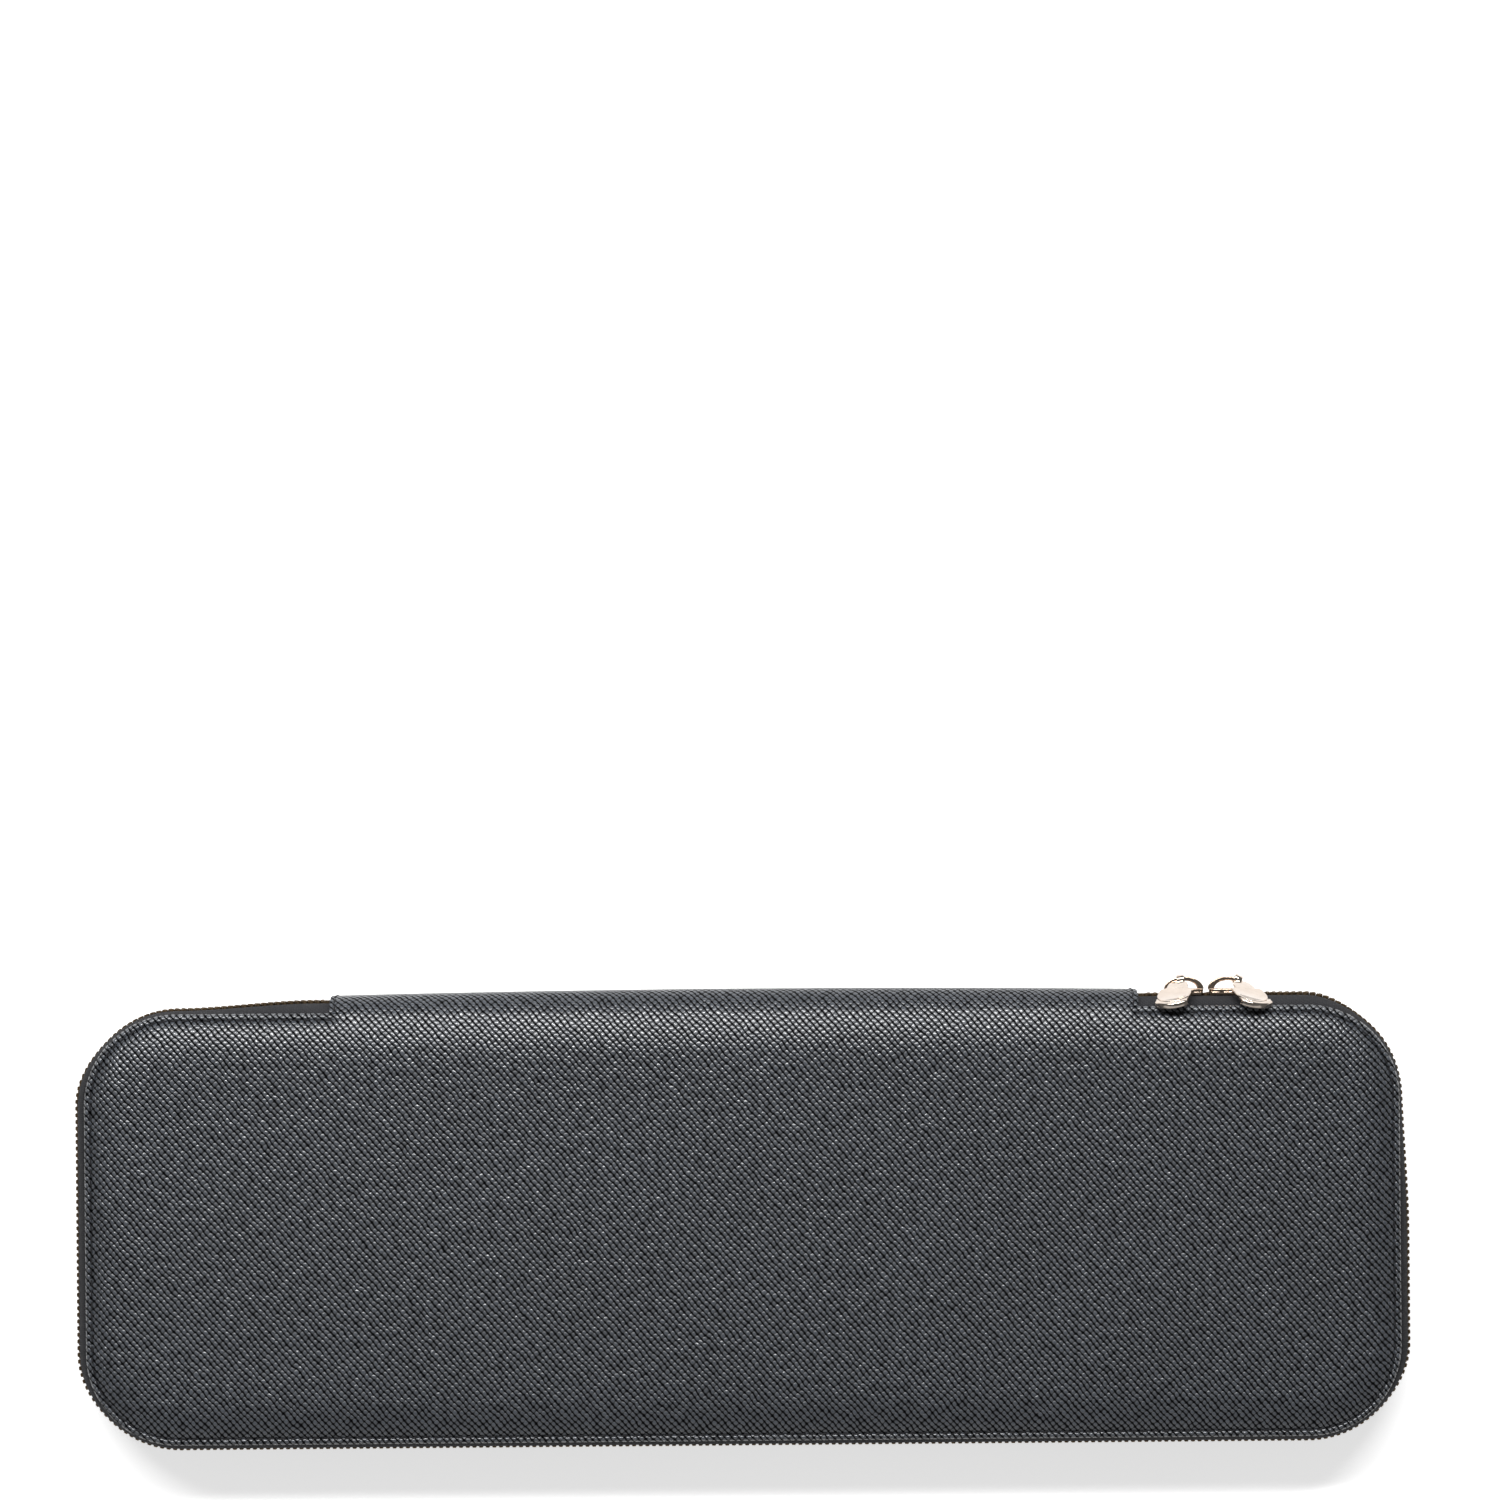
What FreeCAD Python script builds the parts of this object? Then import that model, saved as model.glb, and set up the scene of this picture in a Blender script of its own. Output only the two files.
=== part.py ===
import FreeCAD, Part
import math
import os

# A long zip-around leather pen case, lying closed on its back cover.
# Millimetres. X runs along the case, +Y points to the spine, +Z is up through the front cover.
# The origin is the middle of the back cover's flat outer face.

V = FreeCAD.Vector
UP = V(0, 0, 1)

# Covers
cover_length = 393.5
cover_width = 129.0
corner_radius = 27.5
case_thickness = 28.0
crown_drop = 3.0
crown_width = 13.5
leather = 1.4
rim_thickness = 1.6
rim_width = 6.0
board = 1.4
lining = 0.6
lining_inset = 1.0
bond_gap = 0.05

# Spine and its two folds. The zip comes back along the spine's edge this far from each end of the cover.
left_zip_return = 73.75
right_zip_return = 77.95
bend_radius = 8.0
spine_board = 1.2
lining_bend = 4.0
seam_gap = 0.1

# Zip
tape = 0.6
tape_lap = 5.0
tape_straight = 4.5
chain_offset = 2.3
tooth_pitch = 2.0
tooth_length = 1.1
tooth_depth = 2.2
tooth_reach = 1.8
row_gap = 1.2
tape_tail = 4.5
stop_length = 1.8
stop_standoff = 0.7
left_end_run = 10.5
right_end_margin = 2.5
run_gap = 0.3

# Sliders and their pulls
slider_length = 11.4
slider_nose_width = 7.6
slider_tail_width = 6.4
slider_nose_length = 3.4
slider_plate = 1.0
slider_chamfer = 0.7
slider_clearance = 0.3
slider_standoff = 8.8
slider_gap = 1.7
wedge_thickness = 0.7
wedge_length = 2.5
bridge_height = 2.7
bridge_radius = 0.55
bridge_inset = 1.1
pull_length = 17.0
pull_width = 8.4
pull_tip_width = 7.6
pull_shoulder = 7.6
pull_neck = 2.0
pull_thickness = 1.2
lip_thickness = 1.9
lip_length = 2.0
pull_splay = 30.0
eye_wall = 0.9
eye_clearance = 0.35
eye_width = 2.0
eye_from_middle = 0.7
pull_clearance = 0.3

# Inside
elastic = 0.8
loop_pitch = 18.0
loop_foot = 3.0
loop_band = 18.0
loop_side_room = 10.0
loop_headroom = 0.6
band_spread = 90.0
pocket_length = 160.0
pocket_margin = 20.5
pocket_sheet = 0.8
binding = 0.5
binding_width = 4.0

# Levels and places that follow from the sizes above
half_length = cover_length / 2
half_width = cover_width / 2
mid = case_thickness / 2
edge_level = case_thickness - crown_drop
rim_level = edge_level - rim_thickness
tape_high = rim_level - bond_gap
tape_low = tape_high - tape
lining_high = tape_low - bond_gap
lining_low = lining_high - lining
crown_arc = (crown_width ** 2 + crown_drop ** 2) / (2 * crown_drop)
edge_slope = math.asin(crown_width / crown_arc)
fold_y = half_width - bend_radius * math.sin(edge_slope)
fold_z = edge_level - bend_radius * math.cos(edge_slope)
spine_face = fold_y + bend_radius
spine_left = half_length - left_zip_return
spine_right = half_length - right_zip_return
spine_length = spine_left + spine_right
pocket_width = cover_width - 2 * pocket_margin
row_low = mid + row_gap / 2
row_high = row_low + tooth_reach
tape_end = row_high + bond_gap
left_slider_x = spine_right + slider_standoff + slider_length / 2
right_slider_x = left_slider_x + slider_length + slider_gap
left_run_end = spine_left + left_end_run
right_run_end = right_slider_x + slider_length / 2 + right_end_margin


def arc_between(start, middle, end):
    return Part.Arc(start, middle, end).toShape()


def point_on(centre, radius, degrees):
    angle = math.radians(degrees)
    return V(centre.x + radius * math.cos(angle), centre.y + radius * math.sin(angle), centre.z)


def one_solid(pieces):
    """Joins pieces that share whole faces into a single clean solid."""
    return pieces[0].fuse(pieces[1:]).removeSplitter().Solids[0]


def rounded_plate(inset, low, high):
    """A plate with the cover's rounded outline, drawn in by inset, between two levels."""
    radius = corner_radius - inset
    x = half_length - corner_radius
    y = half_width - corner_radius
    edges = []
    corners = [(x, y, 0), (-x, y, 90), (-x, -y, 180), (x, -y, 270)]
    for index, (cx, cy, turn) in enumerate(corners):
        centre = V(cx, cy, low)
        end = point_on(centre, radius, turn + 90)
        edges.append(arc_between(point_on(centre, radius, turn), point_on(centre, radius, turn + 45), end))
        next_x, next_y, next_turn = corners[(index + 1) % 4]
        edges.append(Part.LineSegment(end, point_on(V(next_x, next_y, low), radius, next_turn)).toShape())
    return Part.Face(Part.Wire(edges)).extrude(V(0, 0, high - low))


def box(x_low, x_high, y_low, y_high, z_low, z_high):
    return Part.makeBox(x_high - x_low, y_high - y_low, z_high - z_low, V(x_low, y_low, z_low))


def mirrored(shape):
    """The same piece on the back half: reflected through the zip's middle plane."""
    return shape.mirror(V(0, 0, mid), UP)


# The cover's edge as straight runs and quarter turns, counter-clockwise seen from above.
# A straight run is (start, end, outward); a corner is (centre, first angle).

def straight_run(start, end, outward):
    return ("straight", V(*start, 0), V(*end, 0), V(*outward, 0))


def corner_run(cx, cy, first_angle):
    return ("corner", V(cx, cy, 0), first_angle)


def edge_runs(top_left, top_right):
    """Runs from the top edge at x = -top_left, round both ends, to the top edge at x = top_right."""
    x = half_length - corner_radius
    y = half_width - corner_radius
    return [
        straight_run((-top_left, half_width), (-x, half_width), (0, 1)),
        corner_run(-x, y, 90),
        straight_run((-half_length, y), (-half_length, -y), (-1, 0)),
        corner_run(-x, -y, 180),
        straight_run((-x, -half_width), (x, -half_width), (0, -1)),
        corner_run(x, -y, 270),
        straight_run((half_length, -y), (half_length, y), (1, 0)),
        corner_run(x, y, 0),
        straight_run((x, half_width), (top_right, half_width), (0, 1)),
    ]


def section_face(outline, foot, outward):
    """A face from (distance outward, level) points; a point with a third item ends an arc through it."""
    def place(point):
        return foot + outward * point[0] + UP * point[1]
    edges = []
    for index, item in enumerate(outline):
        start = place(outline[index - 1])
        end = place(item)
        if len(item) == 3:
            edges.append(arc_between(start, place(item[2]), end))
        else:
            edges.append(Part.LineSegment(start, end).toShape())
    return Part.Face(Part.Wire(edges))


def swept(outline, runs):
    """The solid that the outline leaves along the runs of the cover's edge."""
    pieces = []
    for run in runs:
        if run[0] == "straight":
            start, end, outward = run[1:]
            pieces.append(section_face(outline, start, outward).extrude(end - start))
        else:
            centre, first_angle = run[1:]
            outward = point_on(V(0, 0, 0), 1, first_angle)
            face = section_face(outline, centre + outward * corner_radius, outward)
            pieces.append(face.revolve(centre, UP, 90))
    return one_solid(pieces)


def strip(points, thickness):
    """The outline of a bent strip whose outer side follows the points, thickened to its inner side."""
    inner = []
    for index, (n, z) in enumerate(points):
        before = points[max(index - 1, 0)]
        after = points[min(index + 1, len(points) - 1)]
        into = (n - before[0], z - before[1]) if index else (after[0] - n, after[1] - z)
        out = (after[0] - n, after[1] - z) if index < len(points) - 1 else into
        first = (into[1] / math.hypot(*into), -into[0] / math.hypot(*into))
        second = (out[1] / math.hypot(*out), -out[0] / math.hypot(*out))
        share = thickness / (1 + first[0] * second[0] + first[1] * second[1])
        inner.append((n + share * (first[0] + second[0]), z + share * (first[1] + second[1])))
    return list(points) + inner[::-1]


# Padded covers

def crowned_cover():
    """The cover's full padded shape: a flat top that falls in an arc to the stitched edge."""
    halfway = crown_width / 2
    fall = crown_arc - math.sqrt(crown_arc ** 2 - halfway ** 2)
    outline = [
        (-crown_width, rim_level),
        (0, rim_level),
        (0, edge_level),
        (-crown_width, case_thickness, (-halfway, case_thickness - fall)),
    ]
    core = rounded_plate(crown_width, rim_level, case_thickness)
    top = half_length - corner_radius
    ring = swept(outline, edge_runs(-top, top)[:-1])
    return one_solid([ring, core])


def cover_leather(crowned):
    hollow = crowned.translated(V(0, 0, -leather))
    hollow = hollow.common(rounded_plate(rim_width, rim_level - leather, case_thickness))
    return crowned.cut(hollow).Solids[0]


def cover_foam(crowned):
    pad = crowned.translated(V(0, 0, -leather - bond_gap))
    return pad.common(rounded_plate(rim_width + bond_gap, rim_level + board + bond_gap, case_thickness)).Solids[0]


def cover_board():
    return rounded_plate(rim_width + bond_gap, rim_level, rim_level + board)


def lining_card():
    return rounded_plate(tape_lap + bond_gap, lining_high + bond_gap, rim_level - bond_gap)


def lining_notch():
    return fold_lining_centre()[0] - bond_gap


def cover_lining():
    sheet = rounded_plate(lining_inset, lining_low, lining_high)
    notch = box(-spine_left - seam_gap, spine_right + seam_gap, lining_notch(), half_width,
                lining_low - lining, lining_high + lining)
    return sheet.cut(notch).Solids[0]


# Spine

def fold_lining_centre():
    radius = lining_bend + lining
    lining_face = spine_face - leather - spine_board - 2 * bond_gap
    return lining_face - radius, lining_high - radius


def bent_strip(centre_y, centre_z, outer, thickness, top_angle):
    """A strip bent about X along the spine, from the spine's plane up to top_angle degrees."""
    centre = V(0, centre_y, centre_z)

    def at(radius, degrees):
        angle = math.radians(degrees)
        return centre + V(-spine_left, radius * math.cos(angle), radius * math.sin(angle))
    inner = outer - thickness
    edges = [
        arc_between(at(outer, 0), at(outer, top_angle / 2), at(outer, top_angle)),
        Part.LineSegment(at(outer, top_angle), at(inner, top_angle)).toShape(),
        arc_between(at(inner, top_angle), at(inner, top_angle / 2), at(inner, 0)),
        Part.LineSegment(at(inner, 0), at(outer, 0)).toShape(),
    ]
    return Part.Face(Part.Wire(edges)).extrude(V(spine_length, 0, 0))


def fold_leather():
    turn = 90 - math.degrees(edge_slope)
    bend = bent_strip(fold_y, fold_z, bend_radius, leather, turn)
    rim = box(-spine_length, spine_length, 0, half_width + seam_gap, mid, case_thickness)
    return bend.cut(rim).Solids[0]


def fold_lining():
    centre_y, centre_z = fold_lining_centre()
    return bent_strip(centre_y, centre_z, lining_bend + lining, lining, 90)


def spine_leather():
    return box(-spine_left, spine_right, spine_face - leather, spine_face, case_thickness - fold_z, fold_z)


def spine_core():
    """The stiffener inside the spine, short of its ends so that the zip's tails go in beside it."""
    outer = spine_face - leather - bond_gap
    short = tape_tail + run_gap
    return box(short - spine_left, spine_right - short, outer - spine_board, outer, case_thickness - fold_z, fold_z)


def spine_lining():
    centre_y, centre_z = fold_lining_centre()
    outer = centre_y + lining_bend + lining
    short = tape_tail + run_gap
    return box(short - spine_left, spine_right - short, outer - lining, outer, case_thickness - centre_z, centre_z)


# Zip

def tape_line():
    """The tape's outer side: under the rim, down the slope, then straight to the teeth."""
    outer = chain_offset + tape / 2
    return [(-tape_lap, tape_high), (0, tape_high), (outer, mid + tape_straight), (outer, tape_end)]


def zip_tape():
    return swept(strip(tape_line(), tape), edge_runs(left_run_end, right_run_end))


def end_tape_line():
    """The tape's wall alone, clear of the rim, for the short closed ends beside the spine."""
    flange, rim, bend, end = tape_line()
    share = (lining_inset + run_gap) / (bend[0] + lining_inset + run_gap)
    start = (rim[0] + share * (bend[0] - rim[0]), rim[1] + share * (bend[1] - rim[1]))
    return [start, bend, end]


def end_tape(side, spine_end, run_end):
    """Both rows' tape from its tail inside the spine to the run that each cover carries."""
    tail = side * (spine_end - tape_tail)
    end = side * (run_end - run_gap)
    wall = section_face(strip(end_tape_line(), tape), V(tail, half_width, 0), V(0, 1, 0))
    wall = wall.extrude(V(end - tail, 0, 0))
    inside = box(-spine_left - seam_gap, spine_right + seam_gap, 0, spine_face, mid + tape_straight, case_thickness)
    wall = wall.cut(inside).Solids[0]
    return Part.Compound([wall, mirrored(wall)])


def tooth(foot, outward):
    """One tooth, centred on the chain line, with its head towards the middle plane."""
    along = V(-outward.y, outward.x, 0) * (tooth_length / 2)
    inner = foot + outward * (chain_offset - tooth_depth / 2) + UP * row_low
    outer = foot + outward * (chain_offset + tooth_depth / 2) + UP * row_low
    corners = [inner - along, outer - along, outer + along, inner + along, inner - along]
    return Part.Face(Part.makePolygon(corners)).extrude(V(0, 0, tooth_reach))


def teeth_on(run):
    """Teeth at an even pitch along one run, as close to the zip's pitch as the run allows."""
    if run[0] == "straight":
        start, end, outward = run[1:]
        count = int((end - start).Length / tooth_pitch)
        return [tooth(start + (end - start) * ((i + 0.5) / count), outward) for i in range(count)]
    centre, first_angle = run[1:]
    count = int(math.radians(90) * (corner_radius + chain_offset) / tooth_pitch)
    teeth = []
    for i in range(count):
        outward = point_on(V(0, 0, 0), 1, first_angle + 90 * (i + 0.5) / count)
        teeth.append(tooth(centre + outward * corner_radius, outward))
    return teeth


def zip_teeth():
    teeth = []
    for run in edge_runs(left_run_end, right_run_end):
        teeth.extend(teeth_on(run))
    return Part.Compound(teeth)


def end_teeth():
    stop = stop_standoff + stop_length
    left = straight_run((-spine_left - stop, half_width), (-left_run_end, half_width), (0, 1))
    right = straight_run((right_run_end, half_width), (spine_right + stop, half_width), (0, 1))
    teeth = teeth_on(left) + teeth_on(right)
    return Part.Compound(teeth + [mirrored(one) for one in teeth])


def end_stops():
    """A metal stop across both rows at each end of the chain."""
    stops = []
    low = half_width + chain_offset - tooth_depth / 2
    for start in (-spine_left - stop_standoff - stop_length, spine_right + stop_standoff):
        stops.append(box(start, start + stop_length, low, low + tooth_depth, 2 * mid - row_high, row_high))
    return Part.Compound(stops)


# Sliders

def slider_levels():
    """The inner and outer plate faces that look at the chain, measured along Y."""
    chain = half_width + chain_offset
    room = tooth_depth / 2 + slider_clearance
    return chain - room, chain + room


def slider_block(nose):
    """Both plates as one block: wide at the nose, narrow at the tail, with its outer edges taken off."""
    inner, outer = slider_levels()
    half = slider_length / 2
    wide = slider_nose_width / 2
    narrow = slider_tail_width / 2
    shoulder = half - slider_nose_length
    points = [(-half, -narrow), (shoulder, -wide), (half, -narrow), (half, narrow), (shoulder, wide), (-half, narrow)]
    corners = [V(nose * x, inner - slider_plate, mid + z) for x, z in points]
    plan = Part.Face(Part.makePolygon(corners + corners[:1]))
    block = plan.extrude(V(0, outer - inner + 2 * slider_plate, 0))
    top = max(block.Faces, key=lambda face: face.CenterOfMass.y)
    return block.makeChamfer(slider_chamfer, top.Edges)


def slider(x, nose):
    """A cast slider on the chain. nose is +1 or -1, the way along X that its wide end points."""
    inner, outer = slider_levels()
    chain = half_width + chain_offset
    slit = tape / 2 + slider_clearance
    body = slider_block(nose)
    room = row_high - mid + slider_clearance
    channel = box(-slider_length, slider_length, inner, outer, mid - room, mid + room)
    slot = box(-slider_length, slider_length, chain - slit, chain + slit, 0, case_thickness)
    body = body.cut(channel).cut(slot)
    tip = nose * slider_length / 2
    web = box(min(tip, tip - nose * wedge_length), max(tip, tip - nose * wedge_length),
              inner, outer, mid - wedge_thickness / 2, mid + wedge_thickness / 2)
    return one_solid([body, web, bridge()]).translated(V(x, 0, 0))


def bridge_axis():
    return slider_levels()[1] + slider_plate + bridge_height


def bridge_post():
    """How far each foot of the bridge stands from the slider's middle."""
    return slider_length / 2 - bridge_inset


def bridge():
    """The arch over the outer plate that carries the pull: two feet and a bar with round bends."""
    foot = slider_levels()[1] + slider_plate / 2
    top = bridge_axis()
    post = bridge_post()
    bend = bridge_height / 2
    ease = bend * (1 - math.sqrt(0.5))
    line = [
        Part.LineSegment(V(-post, foot, mid), V(-post, top - bend, mid)).toShape(),
        arc_between(V(-post, top - bend, mid), V(-post + ease, top - ease, mid), V(-post + bend, top, mid)),
        Part.LineSegment(V(-post + bend, top, mid), V(post - bend, top, mid)).toShape(),
        arc_between(V(post - bend, top, mid), V(post - ease, top - ease, mid), V(post, top - bend, mid)),
        Part.LineSegment(V(post, top - bend, mid), V(post, foot, mid)).toShape(),
    ]
    circle = Part.Wire(Part.makeCircle(bridge_radius, V(-post, foot, mid), V(0, 1, 0)))
    return Part.Wire(line).makePipeShell([circle], True, False)


def pull_lean():
    """The angle, from straight out, at which the pull rests on the front cover's edge."""
    reach = V(0, half_width - bridge_axis(), edge_level - mid)
    rest = math.degrees(math.atan2(reach.z, reach.y))
    return rest - math.degrees(math.asin((lip_thickness / 2 + pull_clearance) / reach.Length))


def pull(x, side):
    """A flat paddle on an eye round the bridge. side is -1 when it splays to -X, +1 to +X."""
    bore = bridge_radius + eye_clearance
    eye_radius = bore + eye_wall
    neck = pull_neck / 2
    wide = pull_width / 2
    end = pull_tip_width / 2
    tip = pull_length - lip_length
    outline = [(-neck, 0), (neck, 0), (neck, eye_radius), (wide, pull_shoulder), (end, tip), (-end, tip),
               (-wide, pull_shoulder), (-neck, eye_radius)]
    corners = [V(w, u, -pull_thickness / 2) for w, u in outline]
    blade = Part.Face(Part.makePolygon(corners + corners[:1])).extrude(V(0, 0, pull_thickness))
    lip = Part.makeBox(pull_tip_width, lip_length, lip_thickness, V(-end, tip, -lip_thickness / 2))
    paddle = blade.fuse(lip)
    paddle.rotate(V(0, 0, 0), UP, -side * pull_splay)
    eye = Part.makeCylinder(eye_radius, eye_width, V(-eye_width / 2, 0, 0), V(1, 0, 0))
    hole = Part.makeCylinder(bore, 2 * pull_width, V(-pull_width, 0, 0), V(1, 0, 0))
    whole = paddle.fuse(eye).cut(hole).removeSplitter()
    whole.rotate(V(0, 0, 0), V(1, 0, 0), pull_lean())
    return whole.translated(V(x + side * eye_from_middle, bridge_axis(), mid)).Solids[0]


# Inside fittings

def loop_rows():
    """Middles of the pen lanes across the case."""
    count = int((cover_width - 2 * loop_side_room) / loop_pitch)
    return [(i - (count - 1) / 2) * loop_pitch for i in range(count)]


def loop_height():
    """Inside height of a pen loop: what the closed case leaves under the pocket."""
    pocket = bond_gap + pocket_sheet + binding
    return 2 * (lining_low - mid) - elastic - pocket - loop_headroom


def arch_face(x, y, half, height):
    """A lane's outline across the case: straight sides under a half-round top."""
    floor = case_thickness - lining_low
    side = floor + height - half
    line = [
        Part.LineSegment(V(x, y - half, floor), V(x, y - half, side)).toShape(),
        arc_between(V(x, y - half, side), V(x, y, side + half), V(x, y + half, side)),
        Part.LineSegment(V(x, y + half, side), V(x, y + half, floor)).toShape(),
        Part.LineSegment(V(x, y + half, floor), V(x, y - half, floor)).toShape(),
    ]
    return Part.Face(Part.Wire(line))


def pen_loops(x):
    """One elastic band, sewn down between the pens so that it stands up in a row of loops."""
    floor = case_thickness - lining_low
    low_x = x - loop_band / 2
    half = (loop_pitch - loop_foot) / 2 - elastic
    along = V(loop_band, 0, 0)
    rows = loop_rows()
    reach = rows[-1] + loop_pitch / 2 + loop_foot / 2
    band = box(low_x, low_x + loop_band, -reach, reach, floor, floor + elastic)
    band = band.fuse([arch_face(low_x, y, half + elastic, loop_height() + elastic).extrude(along) for y in rows])
    lanes = [arch_face(low_x, y, half, loop_height()).extrude(along) for y in rows]
    return band.cut(Part.Compound(lanes)).removeSplitter().Solids[0]


def slip_pocket():
    high = lining_low - bond_gap
    x = half_length / 2
    return box(-x - pocket_length / 2, -x + pocket_length / 2, -pocket_width / 2, pocket_width / 2,
               high - pocket_sheet, high)


def pocket_binding():
    high = lining_low - bond_gap - pocket_sheet
    x = half_length / 2
    mouth = pocket_width / 2
    return box(-x - pocket_length / 2, -x + pocket_length / 2, mouth - binding_width, mouth, high - binding, high)


def build():
    crowned = crowned_cover()
    halves = {
        "cover_leather": cover_leather(crowned),
        "foam": cover_foam(crowned),
        "board": cover_board(),
        "lining_card": lining_card(),
        "lining": cover_lining(),
        "zip_tape": zip_tape(),
        "zip_teeth": zip_teeth(),
        "fold_leather": fold_leather(),
        "fold_lining": fold_lining(),
    }
    nodes = {}
    for name, shape in halves.items():
        nodes["front_" + name] = shape
        nodes["back_" + name] = mirrored(shape)
    nodes["spine_leather"] = spine_leather()
    nodes["spine_board"] = spine_core()
    nodes["spine_lining"] = spine_lining()
    nodes["left_zip_end_tape"] = end_tape(-1, spine_left, left_run_end)
    nodes["right_zip_end_tape"] = end_tape(1, spine_right, right_run_end)
    nodes["zip_end_teeth"] = end_teeth()
    nodes["zip_end_stops"] = end_stops()
    nodes["left_slider"] = slider(left_slider_x, 1)
    nodes["right_slider"] = slider(right_slider_x, -1)
    nodes["left_pull"] = pull(left_slider_x, -1)
    nodes["right_pull"] = pull(right_slider_x, 1)
    column = half_length / 2
    bands = {
        "left_outer": -column - band_spread / 2,
        "left_inner": -column + band_spread / 2,
        "right_inner": column - band_spread / 2,
        "right_outer": column + band_spread / 2,
    }
    for name, x in bands.items():
        nodes[name + "_pen_loops"] = pen_loops(x)
    nodes["slip_pocket"] = slip_pocket()
    nodes["pocket_binding"] = pocket_binding()
    return nodes


os.makedirs("parts", exist_ok=True)
for node, shape in build().items():
    shape.exportStep("parts/" + node + ".step")
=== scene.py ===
import bmesh
import bpy
import math
from mathutils import Matrix, Vector


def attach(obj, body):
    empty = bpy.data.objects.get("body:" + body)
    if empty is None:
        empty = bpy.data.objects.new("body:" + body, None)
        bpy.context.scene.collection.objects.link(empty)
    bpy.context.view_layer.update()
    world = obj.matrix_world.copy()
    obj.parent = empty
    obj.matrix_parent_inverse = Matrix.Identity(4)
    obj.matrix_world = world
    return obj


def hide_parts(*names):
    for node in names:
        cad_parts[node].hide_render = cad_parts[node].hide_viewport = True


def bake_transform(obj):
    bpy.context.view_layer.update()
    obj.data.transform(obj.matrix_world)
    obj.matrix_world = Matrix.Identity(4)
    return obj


# A long zip-around leather pen case, lying closed on its back cover.
# Metres. X runs along the case, +Y points to the spine, +Z is up through the front cover.

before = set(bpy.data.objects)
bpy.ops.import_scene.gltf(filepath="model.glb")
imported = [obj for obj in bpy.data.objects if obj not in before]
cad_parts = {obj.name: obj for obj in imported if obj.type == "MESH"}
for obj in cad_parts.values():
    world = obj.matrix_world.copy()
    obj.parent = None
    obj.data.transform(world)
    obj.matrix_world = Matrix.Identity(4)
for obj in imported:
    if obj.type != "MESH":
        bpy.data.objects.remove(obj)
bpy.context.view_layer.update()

mm = 0.001
UP = Vector((0, 0, 1))

# Sizes that the solids have too
half_length = 196.75 * mm
half_width = 64.5 * mm
corner_radius = 27.5 * mm
thickness = 28 * mm
mid = thickness / 2
edge_level = 25 * mm
rim_level = 23.4 * mm
crown_width = 13.5 * mm
crown_drop = 3 * mm
leather = 1.4 * mm
spine_left = 123 * mm
spine_right = 118.8 * mm
bend_radius = 8 * mm
lining = 0.6 * mm
lining_level = 22.7 * mm
lining_inset = 1 * mm
lining_bend = 4.6 * mm
lining_bend_y = 61.81 * mm
lining_bend_z = 18.1 * mm
tape = 0.6 * mm
chain_offset = 2.3 * mm
tooth_pitch = 2 * mm
left_run_end = 133.5 * mm
end_stop_room = 2.5 * mm
slider_middle = 66.8 * mm
left_slider_x = 133.3 * mm
right_slider_x = 146.4 * mm
floor_level = 5.9 * mm
elastic = 0.8 * mm
loop_band = 18 * mm
loop_pitch = 18 * mm
loop_half = 7.1 * mm
loop_height = 13.85 * mm
loop_columns = {"left_outer": -143.375, "left_inner": -53.375, "right_inner": 53.375, "right_outer": 143.375}
lanes = 6
pocket_low = Vector((-178.375 * mm, -44 * mm, 21.25 * mm))
pocket_high = Vector((-18.375 * mm, 44 * mm, 22.05 * mm))

# Places that follow from them
straight_x = half_length - corner_radius
straight_y = half_width - corner_radius
crown_arc = (crown_width ** 2 + crown_drop ** 2) / (2 * crown_drop)
edge_slope = math.asin(crown_width / crown_arc)
bend_y = half_width - bend_radius * math.sin(edge_slope)
bend_z = edge_level - bend_radius * math.cos(edge_slope)
bend_turn = math.pi / 2 - edge_slope
spine_arc = bend_radius * bend_turn
spine_reach = spine_arc + bend_z - mid

# Sewing
stitch_inset = 1.95 * mm
stitch_pitch = 3.3 * mm
stitch_end = 1.4 * mm
stitch_level = 24.8 * mm
stitch_half = (1.25 * mm, 0.3 * mm, 0.24 * mm)
stitch_slant = math.radians(9)
spine_bow = 1.1 * mm
# The sewn cover's distance in from its edge and its height, in millimetres
sewn_profile = [(0, 23.9), (0.15, 24.36), (0.4, 24.7), (0.8, 24.96), (1.2, 25.08), (1.5, 25.04),
                (1.75, 24.85), (1.95, 24.62), (2.15, 24.8), (2.4, 25.12), (2.9, 25.57), (3.8, 26.13),
                (5.2, 26.75), (7, 27.25), (9, 27.62), (11.2, 27.88), (13.5, 28), (20, 28)]

# Zip, in the scene only: it runs closed to the corner, where the solids part it sooner
right_run_end = 169 * mm
left_sink = 2.2 * mm
right_sink = 1.9 * mm
far_sink = 1.2 * mm
tape_rim = 23.2 * mm
tape_chain = 17 * mm
parting = 24 * mm
tape_steps = 8
tooth_steps = 12
tooth_foot = (1.25 * mm, 2.5 * mm, 1.7 * mm)
tooth_head = (0.8 * mm, 2.1 * mm, 1.9 * mm)
# The tape's section from under the rim to the chain: distance out from the edge and height, in millimetres
tape_section = [(-4.5, 23.32), (-1.2, 23.3), (-0.1, 23.22), (0.6, 22.75), (1.3, 21.7), (2.0, 20.3),
                (2.45, 19.0), (2.6, 17.7), (2.6, 16.2)]

# Pulls, in millimetres from the eye
pull_end_radius = 7.4
pull_end_centre = 10.2
pull_end_half = 4.95
neck_radius = 3.1
neck_centre = 4.3


# Shapes

def smooth_step(value):
    share = min(max(value, 0), 1)
    return share * share * (3 - 2 * share)


def ramp(value, start, length):
    """Rises smoothly from 0 at the start to 1 a length further on."""
    return smooth_step((value - start) / length)


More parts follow.
